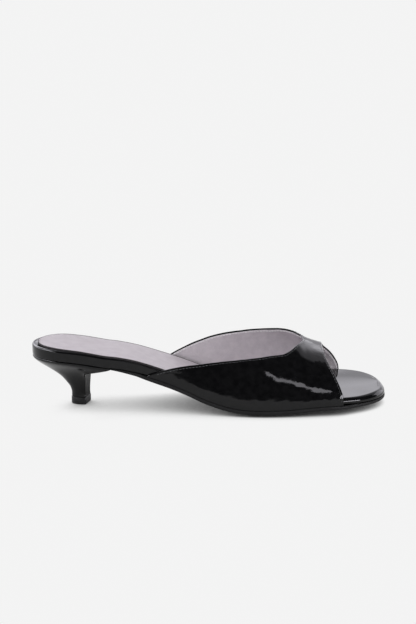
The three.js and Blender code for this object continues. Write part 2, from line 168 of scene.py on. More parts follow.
def half_width(x, side):
    """Half width of the board on one side: side is -1 on the outer side and 1 on the inner side."""
    column, toe_length, toe_power = ("outer", 46, 2.2) if side < 0 else ("inner", 32, 2.65)
    heel_end = end_round(x, 26, 2.1)
    toe_end = end_round(LENGTH - x, toe_length, toe_power)
    return BALL_WIDTH * outline[column](x / LENGTH) * heel_end * toe_end


stations = np.linspace(0, LENGTH, 500)
widest = [half_width(stations, side).max() for side in (-1, 1)]
CENTRE_Y = board_low.y + widest[0] * MM
print("board width in the drawing", round(sum(widest), 2), "mm, in the frame",
      round((board_high.y - board_low.y) / MM, 2), "mm")

# %% [markdown]
# ### The curve of the sole
#
# From the side, the sole lies flat at the ball, climbs through the arch to the heel's seat and lifts a
# little at the toe. On top of it lie the outsole and the board. Each layer's top is a function of the
# place along the shoe and of the place across, from -1 to 1, so a layer that lies on another shares
# its curve exactly and no gap can open.

# %% Tables of the sole
tread = columns(
    ("arch", "spring"),
    [
        (0, 1, 0),
        (0.06, 0.985, 0),
        (0.13, 0.935, 0),
        (0.19, 0.862, 0),
        (0.24, 0.79, 0),
        (0.29, 0.69, 0),
        (0.34, 0.57, 0),
        (0.39, 0.445, 0),
        (0.435, 0.32, 0),
        (0.48, 0.185, 0),
        (0.53, 0.075, 0),
        (0.57, 0.018, 0),
        (0.6, 0, 0),
        (0.68, 0, 0),
        (0.73, 0, 0.2),
        (0.78, 0, 0.44),
        (0.84, 0, 0.66),
        (0.9, 0, 0.82),
        (1, 0, 1),
    ],
)
layers = columns(
    ("outsole", "board", "crown", "lift", "drop"),
    [
        (0, 0, 1, -0.6, 0, 0),
        (0.2, 0.1, 0.97, -0.4, 0, 0),
        (0.24, 0.42, 0.96, -0.2, 0, 0),
        (0.3, 0.85, 0.95, 0, 0.1, 0),
        (0.36, 1, 0.94, 0, 0.3, 0),
        (0.4, 1, 0.93, 0, 0.5, 0),
        (0.6, 1, 0.82, -0.2, 1, 0),
        (0.8, 0.93, 0.79, 0.5, 1, 0.5),
        (0.86, 0.88, 0.78, 1.2, 0.7, 1),
        (0.9, 0.85, 0.77, 1.2, 0.45, 1),
        (1, 0.7, 0.75, 1, 0.2, 0),
    ],
)
print("the sole is flat from", round(0.6 * LENGTH), "to", round(0.68 * LENGTH), "mm from the heel's back")

# %% Heights of the layers
def tread_z(x, across):
    along = x / LENGTH
    rim = np.maximum((np.abs(across) - FLAT_SHARE) / (1 - FLAT_SHARE), 0) ** 2
    base = SEAT_HEIGHT * tread["arch"](along) + TOE_SPRING * tread["spring"](along)
    return base + EDGE_LIFT * layers["lift"](along) * rim


def outsole_top_z(x, across):
    return tread_z(x, across) + OUTSOLE_THICKNESS * layers["outsole"](x / LENGTH)


def board_bottom_z(x, across):
    return outsole_top_z(x, across) + SEATING_GAP


def board_top_z(x, across):
    along = x / LENGTH
    crown = BOARD_CROWN * layers["crown"](along) * (1 - across**2)
    drop = TOE_EDGE_DROP * layers["drop"](along) * np.minimum(across, 0) ** 2
    return board_bottom_z(x, across) + BOARD_THICKNESS * layers["board"](along) + crown - drop


print("top of the board at the heel's back", round(float(board_top_z(0, 0)), 1), "mm, at the ball",
      round(float(board_top_z(0.64 * LENGTH, 0)), 1), "mm")

# %% [markdown]
# ## From a grid of points to a mesh
#
# Every form here is a grid: rows of points that run one way, columns that run the other. A grid is
# easy to think about, its faces are even, and its edges are known, so a rounded rim is only a few more
# rows. Modelling by hand with modifiers would also work, but a grid lets each point sit on the last's
# own curve. The second helper makes the mesh, smooths its shading except where two faces meet at a
# real corner, puts the piece on its body and hides the CAD part that it stands for.

# %% Grids of faces
def to_frame(points):
    """Shoe millimetres to metres in the frame."""
    points = np.asarray(points, float).reshape(-1, 3)
    origin = np.array([board_low.x, CENTRE_Y, 0])
    return points * MM + origin


def grid_faces(rows, cols, start=0, around=False):
    """Faces of a grid of rows by cols points; around joins the last column to the first."""
    i = np.arange(rows - 1)[:, None]
    j = np.arange(cols if around else cols - 1)[None, :]
    k = (j + 1) % cols
    corners = (i * cols + j, (i + 1) * cols + j, (i + 1) * cols + k, i * cols + k)
    return np.stack([c.ravel() for c in corners], 1) + start


print("a grid of 3 by 4 points has", len(grid_faces(3, 4)), "faces")

# %% A mesh object from points and faces
CORNER_ANGLE = math.radians(40)


def add_piece(name, points, faces, material, node):
    """A mesh object made of shoe millimetres, on the body and standing for a CAD node."""
    mesh = bpy.data.meshes.new(name)
    mesh.from_pydata(to_frame(points).tolist(), [], [list(map(int, f)) for f in faces])
    mesh.validate()
    mesh.shade_smooth()
    mesh.set_sharp_from_angle(angle=CORNER_ANGLE)
    mesh.materials.append(material)
    piece = bpy.data.objects.new(name, mesh)
    bpy.context.scene.collection.objects.link(piece)
    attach(piece, "root")
    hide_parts(node)
    print(name, len(mesh.polygons), "faces")
    return piece


# %% [markdown]
# ## The camera
#
# The photograph looks at the outer side of the shoe from a little above, almost square to it, from
# about three quarters of a metre away. The camera comes first, because every later choice is judged
# through it. Its place is given in the shoe's own millimetres.

# %% Place the camera
DISTANCE = 750
ELEVATION = math.radians(12.5)
TURN = math.radians(2)
LOOK_FROM_MIDDLE = (-1.23, 46.64)
FOCAL_PIXELS = 1.45 * DISTANCE
PICTURE_HEIGHT = 624

right = np.array([math.cos(TURN), -math.sin(TURN), 0])
forward = np.array(
    [
        math.sin(TURN) * math.cos(ELEVATION),
        math.cos(TURN) * math.cos(ELEVATION),
        -math.sin(ELEVATION),
    ]
)
upward = np.cross(right, forward)
middle = np.array([LENGTH / 2, 0, 15])
eye = middle - DISTANCE * forward + LOOK_FROM_MIDDLE[0] * right + LOOK_FROM_MIDDLE[1] * upward

camera_data = bpy.data.cameras.new("studio_camera")
camera_data.sensor_width = 36
camera_data.lens = camera_data.sensor_width * FOCAL_PIXELS / PICTURE_HEIGHT
camera_data.clip_start = 0.05
camera_data.clip_end = 60
camera = bpy.data.objects.new("studio_camera", camera_data)
axes = np.stack([right, upward, -forward], 1)
camera.matrix_world = Matrix.Translation(to_frame(eye)[0]) @ Matrix(axes.tolist()).to_4x4()
bpy.context.scene.collection.objects.link(camera)
bpy.context.scene.camera = camera
print("camera", [round(v, 3) for v in camera.location], "lens", round(camera_data.lens, 1), "mm")

# %% [markdown]
# ## Helpers for materials
#
# A material is a small tree of nodes round one Principled shader. Nodes can be laid out by hand in the
# shader editor. Here a few helpers add them by name, because every leather needs the same three things:
# bump, a roughness that isn't even, and a colour that isn't even. All textures are placed in object
# space, so no piece has to be unwrapped.

# %% A material and its nodes
PLAIN_IOR = 1.5


def new_material(name, color, roughness, ior=PLAIN_IOR):
    material = bpy.data.materials.new(name)
    material.use_nodes = True
    shader = material.node_tree.nodes["Principled BSDF"]
    shader.inputs["Base Color"].default_value = (*color, 1)
    shader.inputs["Roughness"].default_value = roughness
    shader.inputs["IOR"].default_value = ior
    return material, shader


def node(material, kind, **values):
    made = material.node_tree.nodes.new(kind)
    for key, value in values.items():
        if key in made.inputs:
            made.inputs[key].default_value = value
        else:
            setattr(made, key, value)
    return made


print("leather, paint and rubber have an IOR of", PLAIN_IOR)


# %% Textures in object space
def noise_texture(material, size, detail=2, rough=0.5):
    """Noise whose lumps are about size metres across."""
    place = node(material, "ShaderNodeTexCoord")
    texture = node(material, "ShaderNodeTexNoise", Scale=1 / size, Detail=detail, Roughness=rough)
    material.node_tree.links.new(place.outputs["Object"], texture.inputs["Vector"])
    return texture.outputs["Fac"]


def cell_texture(material, size):
    """Cells of a leather's grain, about size metres across, dark in the cracks."""
    place = node(material, "ShaderNodeTexCoord")
    texture = node(material, "ShaderNodeTexVoronoi", feature="SMOOTH_F1", Scale=1 / size)
    texture.inputs["Smoothness"].default_value = 0.6
    material.node_tree.links.new(place.outputs["Object"], texture.inputs["Vector"])
    return texture.outputs["Distance"]


print("lumps of 9 mm need a noise scale of", round(1 / 0.009))

# %% Bump, roughness and colour from a texture
ROUGHNESS_RANGE = (0.3, 0.7)
COLOR_RANGE = (0.35, 0.65)


def add_bump(material, shader, heights):
    """Bumps in layers: each is (height output, depth in metres)."""
    links = material.node_tree.links
    normal = None
    for height, depth in heights:
        bump = node(material, "ShaderNodeBump", Strength=1.0, Distance=depth)
        links.new(height, bump.inputs["Height"])
        if normal is not None:
            links.new(normal, bump.inputs["Normal"])
        normal = bump.outputs["Normal"]
    links.new(normal, shader.inputs["Normal"])


def vary(material, source, low, high, socket):
    """Drives a socket between low and high by a texture."""
    ramp = node(material, "ShaderNodeMapRange")
    ramp.inputs["From Min"].default_value = ROUGHNESS_RANGE[0]
    ramp.inputs["From Max"].default_value = ROUGHNESS_RANGE[1]
    ramp.inputs["To Min"].default_value = low
    ramp.inputs["To Max"].default_value = high
    material.node_tree.links.new(source, ramp.inputs["Value"])
    material.node_tree.links.new(ramp.outputs["Result"], socket)


def blend_colors(material, source, dark, light, socket):
    """Mixes two colours by a texture."""
    mix = node(material, "ShaderNodeMix", data_type="RGBA")
    mix.inputs["A"].default_value = (*dark, 1)
    mix.inputs["B"].default_value = (*light, 1)
    ramp = node(material, "ShaderNodeMapRange")
    ramp.inputs["From Min"].default_value = COLOR_RANGE[0]
    ramp.inputs["From Max"].default_value = COLOR_RANGE[1]
    material.node_tree.links.new(source, ramp.inputs["Value"])
    material.node_tree.links.new(ramp.outputs["Result"], mix.inputs["Factor"])
    material.node_tree.links.new(mix.outputs["Result"], socket)


print("noise from", ROUGHNESS_RANGE, "drives roughness, noise from", COLOR_RANGE, "drives colour")

# %% [markdown]
# ### Patent leather
#
# Patent leather is leather under a thick, clear, glossy film. What makes it look real isn't its
# colour, which is almost nothing, but its faults: the film follows soft dents in the leather, and it
# has a very fine ripple. Both are bump here. The film's low IOR keeps the mirror dim, as on the photo,
# and the board and the heel, which are pulled tight, get less ripple than the upper.

# %% Patent leather
def patent_leather(name, ripple=1.0, roughness=0.05):
    material, shader = new_material(name, (0.004, 0.004, 0.0045), roughness, ior=1.34)
    add_bump(
        material,
        shader,
        [
            (noise_texture(material, 0.009, detail=1), 0.00006 * ripple),
            (noise_texture(material, 0.0014, detail=2), 0.000014 * ripple),
        ],
    )
    vary(material, noise_texture(material, 0.009, detail=3), roughness * 0.7, roughness * 1.6,
         shader.inputs["Roughness"])
    blend_colors(material, noise_texture(material, 0.004), (0.003, 0.003, 0.0034),
                 (0.006, 0.006, 0.0066), shader.inputs["Base Color"])
    return material


upper_patent = patent_leather("upper_patent")
board_patent = patent_leather("board_patent", ripple=0.35)
heel_patent = patent_leather("heel_patent", ripple=0.5, roughness=0.09)
print("patent leathers:", upper_patent.name, board_patent.name, heel_patent.name)

# %% [markdown]
# ### Matt leathers, rubber and a near-black border
#
# The sock and the lining are soft lilac-grey leather, the outsole is a hard black one, the top piece is
# rubber, and the sock's cut edge is near-black. All are matt with a grain, so one recipe serves them: wide
# soft waves, cells for the pebbles and fine noise between them. The gloss is kept low, because a thin
# sheen on pale leather soon looks like plastic. The breast of the heel is the duller leather of the
# cover where it was rubbed down and glued.

# %% Matt leathers
def grained_leather(name, dark, light, roughness, grain=0.0011, depth=0.00006, gloss=0.5):
    material, shader = new_material(name, light, roughness)
    shader.inputs["Specular IOR Level"].default_value = gloss
    add_bump(
        material,
        shader,
        [
            (noise_texture(material, 0.012, detail=2), 0.0002),
            (cell_texture(material, grain), depth),
            (noise_texture(material, grain / 3, detail=3), depth / 4),
        ],
    )
    blend_colors(material, noise_texture(material, 0.006, detail=5, rough=0.65), dark, light,
                 shader.inputs["Base Color"])
    vary(material, noise_texture(material, 0.003, detail=3), roughness - 0.06, roughness + 0.06,
         shader.inputs["Roughness"])
    return material


sock_leather = grained_leather("sock_leather", (0.5, 0.455, 0.495), (0.565, 0.52, 0.56), 0.6, gloss=0.2)
lining_leather = grained_leather("lining_leather", (0.65, 0.605, 0.645), (0.75, 0.7, 0.74), 0.5,
                                 grain=0.0013, depth=0.0002)
outsole_black = grained_leather("outsole_black", (0.006, 0.006, 0.0063), (0.011, 0.011, 0.0115), 0.55,
                                grain=0.0008, depth=0.00001, gloss=0.2)
tip_rubber = grained_leather("tip_rubber", (0.009, 0.009, 0.0095), (0.015, 0.015, 0.016), 0.42,
                             grain=0.0005, depth=0.00004, gloss=0.3)
# The sock's border is near-black, and far_border draws it wider on the inner side.
near_black_border = grained_leather("near_black_border", (0.02, 0.017, 0.018), (0.035, 0.03, 0.032), 0.6,
                             grain=0.0004, depth=0.00002, gloss=0.2)
breast_leather = grained_leather("breast_leather", (0.006, 0.006, 0.0063), (0.01, 0.01, 0.0105), 0.5,
                                 grain=0.0009, depth=0.00003, gloss=0.12)
print(len(bpy.data.materials), "materials so far")

# %% [markdown]
# ## The layers of the sole
#
# The outsole, the board and the sock lining are flat layers that share one curve. Each is a grid over
# its plan, from the heel to the toe and from side to side, with a few rings round its edge that turn
# the corner. A solid with a bevel modifier would be quicker, but its bevel has one width all round,
# and a real roll is wider at the toe than at the waist. The rings can follow that.

# %% The plan of a layer
SLOPE_STEP = 0.25


def plan_grid(start, end, reach, count=220, across_count=24):
    """Plan points of a layer; reach(x, side) moves the outline out, and a round end closes to a point."""
    t = np.linspace(0, 1, count)
    round_back = start == 0
    round_front = end == LENGTH
    if round_back and round_front:
        share = 0.5 - 0.5 * np.cos(np.pi * t)
    elif round_back:
        share = 1 - np.cos(np.pi * t / 2)
    elif round_front:
        share = np.sin(np.pi * t / 2)
    else:
        share = t
    x = start + (end - start) * share
    sides = []
    for side in (-1, 1):
        before = np.maximum(x - SLOPE_STEP, 0)
        after = np.minimum(x + SLOPE_STEP, LENGTH)
        run = after - before
        rise = half_width(after, side) - half_width(before, side)
        out = reach(x, side) / np.hypot(run, rise)
        sides.append(np.stack([x - rise * out, side * (half_width(x, side) + run * out)], 1))
    for end_row, is_round, sign in ((0, round_back, -1), (-1, round_front, 1)):
        for points, side in zip(sides, (-1, 1)):
            if is_round:
                points[end_row] = (x[end_row] + sign * reach(x[end_row], sign), 0)
            else:
                points[end_row, 0] = x[end_row]
    s = np.linspace(0, 1, across_count)[None, :, None]
    plan = sides[0][:, None] * (1 - s) + sides[1][:, None] * s
    across = np.broadcast_to(2 * s[..., 0] - 1, plan.shape[:2]).copy()
    if round_back:
        across[0] = 1
    if round_front:
        across[-1] = 1
    return plan, across


board_plan, _ = plan_grid(0, LENGTH, lambda x, side: 0 * x)
print("the board's plan is", round(float(np.ptp(board_plan[..., 1])), 1), "mm wide")


# %% Levels and their rim
def layer_level(start, end, reach, height, **counts):
    plan, across = plan_grid(start, end, reach, **counts)
    z = height(plan[..., 0], across)
    return np.concatenate([plan, z[..., None]], 2)


def edge_loop(rows, cols):
    i, j = np.arange(rows), np.arange(cols)
    loop = [(a, 0) for a in i[:-1]] + [(rows - 1, b) for b in j[:-1]]
    loop += [(a, cols - 1) for a in i[:0:-1]] + [(0, b) for b in j[:0:-1]]
    return np.array([a * cols + b for a, b in loop])


print("a plan of 260 by 28 points has a rim of", len(edge_loop(260, 28)), "points")


# %% Faces between the levels
def layer_points(levels):
    """Points and faces of a layer: the first and last levels are its top and bottom."""
    rows, cols = levels[0].shape[:2]
    loop = edge_loop(rows, cols)
    top = levels[0].reshape(-1, 3)
    bottom = levels[-1].reshape(-1, 3)
    between = [level.reshape(-1, 3)[loop] for level in levels[1:-1]]
    points = np.concatenate([top, bottom, *between])
    faces = [grid_faces(rows, cols), grid_faces(rows, cols, len(top))[:, ::-1]]
    rings = [loop]
    for n in range(len(between)):
        rings.append(len(top) * 2 + n * len(loop) + np.arange(len(loop)))
    rings.append(loop + len(top))
    for upper_ring, lower_ring in zip(rings, rings[1:]):
        nxt = np.roll(upper_ring, -1), np.roll(lower_ring, -1)
        faces.append(np.stack([upper_ring, lower_ring, nxt[1], nxt[0]], 1))
    return points, np.concatenate(faces)


# %% One layer as a piece
def merge_points(piece, distance):
    """Joins the points that a round end has drawn together."""
    mesh = bmesh.new()
    mesh.from_mesh(piece.data)
    bmesh.ops.remove_doubles(mesh, verts=mesh.verts, dist=distance)
    bmesh.ops.dissolve_degenerate(mesh, edges=mesh.edges, dist=distance)
    bmesh.ops.recalc_face_normals(mesh, faces=mesh.faces)
    mesh.to_mesh(piece.data)
    mesh.free()
    piece.data.shade_smooth()
    piece.data.set_sharp_from_angle(angle=CORNER_ANGLE)


def make_layer(name, start, end, rings, material, node_name, slot_name, **counts):
    """rings runs from the top to the bottom: each is (reach(x, side), height(x, across))."""
    levels = [layer_level(start, end, reach, height, **counts) for reach, height in rings]
    points, faces = layer_points(levels)
    piece = add_piece(name, points, faces, material, node_name)
    merge_points(piece, 2e-6)


# %% [markdown]
# ### The wrapped board
#
# The patent cover is pulled over the board's edge and glued under it. The roll on top is tight at the
# heel and three times as wide at the bare toe, where the photograph shows a broad glint. The one below
# is tight everywhere. Ten rings make the upper roll, so the mirror doesn't show its facets.

# %% Make the board
LOWER_ROLL = 0.7
roll = smooth_curve((0, 0.2, 0.45, 0.8, 0.88, 0.94, 1), (1.4, 1.2, 1.5, 2.8, 2.7, 3.4, 4.3))


def board_rings():
    rings = []
    for angle in np.linspace(0, math.pi / 2, 10):
        inset = 1 - math.sin(angle)
        drop = 1 - math.cos(angle)
        rings.append((lambda x, side, i=inset: -i * roll(x / LENGTH),
                      lambda x, a, d=drop: board_top_z(x, a) - d * roll(x / LENGTH)))
    for angle in np.linspace(0, math.pi / 2, 5):
        inset = LOWER_ROLL * (1 - math.cos(angle))
        rise = LOWER_ROLL * (1 - math.sin(angle))
        rings.append((lambda x, side, i=inset: -i + 0 * x,
                      lambda x, a, r=rise: board_bottom_z(x, a) + r))
    return rings


make_layer("wrapped_board", 0, LENGTH, board_rings(), board_patent, "insole_board", "board_cover",
           count=260, across_count=28)

# %% [markdown]
# ### The sock lining
#
# A thin sheet of soft grey leather is glued on the board. It stops two millimetres short of the edge at
# the ball, nearly four at the heel, and less than one at the waist. Its cut edge is near-black and
# rolls down to the board, wider on the inner side. It could be one sheet with a dark stripe in its
# material. Two pieces are plainer: the sheet, and under it a near-black border that stands out past it.
# Both are drawn a hair into the board, so no light shows under them.

# %% The sock's outline and border
SOCK_MARGIN = 2.0
SOCK_THICKNESS = 0.8
SOCK_END = 0.77 * LENGTH
BORDER = 0.55
INTO_BOARD = -0.1
sock_margin = smooth_curve((0, 0.04, 0.12, 0.22, 0.35, 0.5, 0.6, 1),
                           (3.9, 3.0, SOCK_MARGIN, 0.9, 0.6, 0.8, SOCK_MARGIN, SOCK_MARGIN))
far_border = smooth_curve((0, 0.02, 0.1, 1), (0, 0.4, 1.5, 1.5))
BORDER_PROFILE = [(1, 0), (0.3, 0.03), (0.1, 0.14), (0, 0.4)]


def sock_reach(inset):
    """Reach of the sock's outline, less a share of its near-black border: 1 is all of it."""
    def reach(x, side):
        border = BORDER + (far_border(x / LENGTH) if side > 0 else 0)
        return -sock_margin(x / LENGTH) - border * inset
    return reach


def sock_height(rise):
    return lambda x, a: board_top_z(x, a) + rise


print("the sock keeps", round(float(sock_margin(0)), 1), "mm from the edge at the heel and",
      round(float(sock_margin(0.35)), 1), "mm at the waist")

# %% Make the sock lining
sock_top = SEATING_GAP + SOCK_THICKNESS
sheet_rings = [(sock_reach(1), sock_height(sock_top)), (sock_reach(1), sock_height(INTO_BOARD))]
make_layer("sock_sheet", 0, SOCK_END, sheet_rings, sock_leather, "sock_lining", "sock",
           count=200, across_count=24)
edge_rings = [(sock_reach(inset), sock_height(sock_top - 0.01 - drop)) for inset, drop in BORDER_PROFILE]
edge_rings.append((sock_reach(0), sock_height(INTO_BOARD)))
make_layer("sock_cut_edge", 0, SOCK_END - 0.05, edge_rings, near_black_border, "sock_lining", "sock",
           count=200, across_count=24)

# %% [markdown]
# ### The outsole
#
# The outsole stands out past the board where the upper sits on it, by as much as the upper is thick,
# and draws in again at the waist and the toe. It is cut from sheet and trimmed on a wheel, so its edge
# is nearly square, with only a trace of rounding: seven rings are enough. It begins just behind the
# front of the heel's flange, so that no light falls through between them.

# %% How far the outsole stands out
sole_edge = columns(
    ("outer", "inner"),
    [
        (0, 0, 0),
        (0.29, 0, 0),
        (0.32, 0.75, 0.1),
        (0.36, 1, 0.8),
        (0.4, 1, 1),
        (0.86, 1, 1),
        (0.895, 0.25, 0.95),
        (0.93, 0.1, 0.25),
        (1, 0.1, 0.1),
    ],
)


def sole_reach(inset):
    def reach(x, side):
        share = sole_edge["outer" if side < 0 else "inner"](x / LENGTH)
        return (UPPER_WALL + SEATING_GAP) * share - inset
    return reach


def between_sole(share):
    return lambda x, a: tread_z(x, a) * (1 - share) + outsole_top_z(x, a) * share


print("under the upper the outsole stands out by", round(UPPER_WALL + SEATING_GAP, 1), "mm")

# %% Make the outsole
FLANGE_END = 55
UNDER_FLANGE = 1.5
sole_rings = [(sole_reach(0.5), between_sole(1)), (sole_reach(0.15), between_sole(0.96)),
              (sole_reach(0), between_sole(0.85)), (sole_reach(0), between_sole(0.4)),
              (sole_reach(0.12), between_sole(0.2)), (sole_reach(0.45), between_sole(0.06)),
              (sole_reach(1), between_sole(0))]
make_layer("outsole_sheet", FLANGE_END - UNDER_FLANGE, LENGTH, sole_rings, outsole_black, "outsole",
           "outsole", count=220, across_count=28)

# %% [markdown]
# ## The upper
#
# The band over the forefoot is one curved sheet. On the real shoe it is patent leather outside and
# soft leather inside, glued together, with the patent turned in round both cut edges. It could be
# sculpted, or draped as cloth over a last. A drawn surface is more exact: a row of half ellipses stands
# on the board, and a table says where the throat and the toe edge cut it. A turn of -1 is the outer
# feather line, where the upper meets the sole, 0 is the ridge and 1 the inner feather line.

# %% A table of the ridge
ridge = columns(
    ("height", "shift"),
    [
        (0.3, 0.88, 0.6),
        (0.45, 0.95, 0.8),
        (0.58, 0.975, 1),
        (0.66, 0.955, 1.1),
        (0.72, 0.885, 1.2),
        (0.745, 0.838, 1.18),
        (0.77, 0.758, 1.15),
        (0.795, 0.692, 1.12),
        (0.82, 0.643, 1.1),
        (0.9, 0.49, 1),
    ],
)
print("the ridge is highest at", round(INSTEP_HEIGHT * float(ridge["height"](0.58)), 1), "mm over the board")

# %% A table of the cut edges
cut = columns(
    ("throat", "toe"),
    [
        (-1, 0.323, 0.862),
        (-0.9, 0.378, 0.861),
        (-0.79, 0.437, 0.855),
        (-0.665, 0.503, 0.846),
        (-0.575, 0.571, 0.839),
        (-0.528, 0.634, 0.835),
        (-0.457, 0.701, 0.829),
        (-0.31, 0.738, 0.822),
        (-0.18, 0.757, 0.821),
        (-0.06, 0.766, 0.823),
        (0.05, 0.767, 0.826),
        (0.13, 0.758, 0.829),
        (0.19, 0.741, 0.831),
        (0.25, 0.705, 0.832),
        (0.3, 0.686, 0.835),
        (0.34, 0.664, 0.838),
        (0.375, 0.629, 0.841),
        (0.423, 0.582, 0.849),
        (0.52, 0.529, 0.864),
        (0.66, 0.476, 0.88),
        (0.82, 0.423, 0.892),
        (1, 0.36, 0.896),
    ],
)


def throat_x(turn):
    return LENGTH * cut["throat"](turn)


def toe_x(turn):
    return LENGTH * cut["toe"](turn)


print("the band is", round(float(toe_x(0) - throat_x(0)), 1), "mm long on the ridge")

# %% The last's surface
STEP_ALONG = 0.25
STEP_TURN = 0.006


def unit(vectors):
    return vectors / np.maximum(np.linalg.norm(vectors, axis=-1, keepdims=True), 1e-9)


def last_point(x, turn):
    """Outer surface of the upper at a place along the shoe and a turn round it."""
    along = x / LENGTH
    side = np.where(turn < 0, -1.0, 1.0)
    angle = np.abs(turn) * np.pi / 2
    shift = RIDGE_SHIFT * ridge["shift"](along)
    board = np.where(turn < 0, half_width(x, -1), half_width(x, 1))
    half = board + UPPER_WALL + SEATING_GAP - side * shift
    height = INSTEP_HEIGHT * ridge["height"](along)
    y = shift + side * half * np.sin(angle) ** (2 / WALL_POWER)
    z = board_bottom_z(x, 1.0) + height * np.maximum(np.cos(angle), 0) ** (2 / WALL_POWER)
    return np.stack(np.broadcast_arrays(x, y, z), -1)


def last_normal(x, turn):
    along = last_point(x + STEP_ALONG, turn) - last_point(x - STEP_ALONG, turn)
    low = np.maximum(turn - STEP_TURN, -1)
    high = np.minimum(turn + STEP_TURN, 1)
    return unit(np.cross(along, last_point(x, high) - last_point(x, low)))


print("top of the ridge", round(float(last_point(0.7 * LENGTH, 0.0)[2]), 1), "mm over the floor")


# %% Turns at even steps along the edges
def even_turns(count):
    """Turns spaced by the length of the two cut edges, so that neither is drawn coarsely."""
    fine = np.linspace(-1, 1, 2001)
    length = np.zeros(len(fine))
    for edge in (throat_x, toe_x):
        points = last_point(edge(fine), fine)
        length[1:] += np.cumsum(np.linalg.norm(np.diff(points, axis=0), axis=1))
    turns = np.interp(np.linspace(0, length[-1], count), length, fine)
    turns[0], turns[-1] = -1, 1
    return turns, length[-1] / 2


TURNS, edge_length = even_turns(300)
print("mean length of the upper's two edges", round(edge_length), "mm")

# %% [markdown]
# ### How the wall leans
#
# Above the feather line the real band leans in by three quarters of a millimetre more than half
# ellipses do. That bends its dark mirror: the floor's reflection ends lower. One smooth step by height
# does it, and it fades out towards the toe.

# %% Lean of the wall
LEAN_DEPTH = 0.75
LEAN_HEIGHT = 9
lean = smooth_curve((0.25, 0.4, 0.75, 0.85), (0.6, 1, 1, 0.1))


def wall_lean(points):
    """How far the wall leans in by its height over the feather line."""
    height = points[..., 2] - board_bottom_z(points[..., 0], 1.0)
    return LEAN_DEPTH * lean(points[..., 0] / LENGTH) * (1 - np.exp(-((height / LEAN_HEIGHT) ** 2)))


print("the wall leans in by up to", LEAN_DEPTH, "mm")

# %% [markdown]
# ### Creases laid one by one
#
# Where the foot has bent a band, or the last has pulled it, soft troughs run over it. Their places
# aren't random: on the ridge they fan out from the throat, and on the sides they lie along the pull to
# the sole. So each is given by one row of a table. A trough is a long soft bell, a tenth of a
# millimetre deep at most, and straight on the unrolled upper.

# %% Creases
TURN_ARC = 58
CREASES = [
    # along, turn, slant in degrees, length, width and depth in millimetres
    (0.755, -0.1, 82, 9, 3.2, 0.07),
    (0.735, 0.16, 75, 11, 3.5, 0.08),
    (0.69, -0.36, 62, 15, 4, 0.1),
    (0.66, 0.42, 60, 16, 4.5, 0.1),
    (0.56, -0.68, 25, 18, 5, 0.09),
    (0.81, 0.5, 20, 12, 3.5, 0.07),
    (0.47, -0.85, 18, 14, 4, 0.07),
]


def creases(points, turn):
    """Depth of all the troughs; a turn of 1 is TURN_ARC millimetres round the last."""
    depth = np.zeros(points.shape[:-1])
    for along, at_turn, slant, length, width, deep in CREASES:
        ahead = points[..., 0] - along * LENGTH
        round_it = (turn - at_turn) * TURN_ARC
        c, s = math.cos(math.radians(slant)), math.sin(math.radians(slant))
        lengthwise = ahead * c + round_it * s
        across = round_it * c - ahead * s
        depth += deep * np.exp(-((lengthwise / length) ** 2) - (across / width) ** 2)
    return depth


print(len(CREASES), "creases, the deepest", max(row[-1] for row in CREASES), "mm")

# %% [markdown]
# ### Soft dents
#
# Patent leather on a last is never perfectly smooth: it sags a little over the vamp, it follows the
# leather under the film, and the cut edges roll. The dents are noise of four sizes, a few hundredths
# to a tenth of a millimetre deep, and always inwards, so the upper stays inside the frame's box. That
# is nothing to the hand and a lot to a mirror. They are moved points and not bump, because the edges
# have to move with them.

# %% Dents from noise
NOISE_LIFT = 0.6
STRETCH = (0.55, 1, 1)
RIM_SHARE = 0.08


def lumps(points, size, seed):
    """Noise of one size, lifted so that it hardly ever falls below 0, where it would swell outwards."""
    offset = Vector((seed * 17.3, seed * 5.1, seed * 9.7))
    flat = points.reshape(-1, 3)
    values = [noise.noise(Vector(p / size) + offset) for p in flat]
    return np.array(values).reshape(points.shape[:-1]) + NOISE_LIFT


def dents(points, share, turn):
    """Inward depth in millimetres; share runs from the throat, 0, to the toe edge, 1."""
    soft = 0.1 * lumps(points * np.array(STRETCH), 17, 1)
    small = 0.03 * lumps(points, 5.5, 2)
    tight = (0.01 + 0.045 * share**2) * lumps(points, 2.3, 4)
    near_rim = np.exp(-((np.minimum(share, 1 - share) / RIM_SHARE) ** 2))
    rim = 0.1 * near_rim * lumps(points, 5, 3)
    return soft + small + tight + rim + creases(points, turn)


turn_here = np.array([-0.5])
dent_here = dents(last_point(np.array([0.7 * LENGTH]), turn_here), np.array([0.5]), turn_here)
print("half way down the outer side the dent is", round(float(dent_here[0]), 2), "mm deep")

# %% [markdown]
# ### A sheet on the last with rounded edges
#
# A sheet of leather has two faces and a rounded rim at each cut edge. A solidify modifier would make
# the faces but square rims, and it would not know that the patent and the lining end at different
# places. So each row across the band is one closed loop: along the outer face, round the toe edge,
# back along the inner face and round the throat edge. The patent is one such sheet and the lining a
# thinner one under it that stops short of the rim, where the patent is folded in.

# %% The cut ends of a sheet
ARC_POINTS = 7
LEAST_SLANT = 0.25
MEAN_DENT = 0.06


def cut_ends(turns):
    """For each cut edge: its points, the directions out of the sheet and how squarely rows meet it."""
    ends = []
    for edge, other in ((throat_x, toe_x), (toe_x, throat_x)):
        x = edge(turns)
        points = last_point(x, turns)
        normal = last_normal(x, turns)
        tangent = unit(np.gradient(points, axis=0))
        away = unit(np.cross(normal, tangent))
        towards = unit(last_point(0.98 * x + 0.02 * other(turns), turns) - points)
        away *= -np.sign((away * towards).sum(1))[:, None]
        slant = np.maximum(np.abs((away * towards).sum(1)), LEAST_SLANT)
        ends.append((points, away, slant))
    return ends


for label, (rim_points, _, _) in zip(("throat", "toe"), cut_ends(TURNS)):
    rim_length = np.linalg.norm(np.diff(rim_points, axis=0), axis=1).sum()
    print(label, "edge", round(float(rim_length)), "mm long")


# %% Loops round the section of a sheet
CROWDING = 0.6


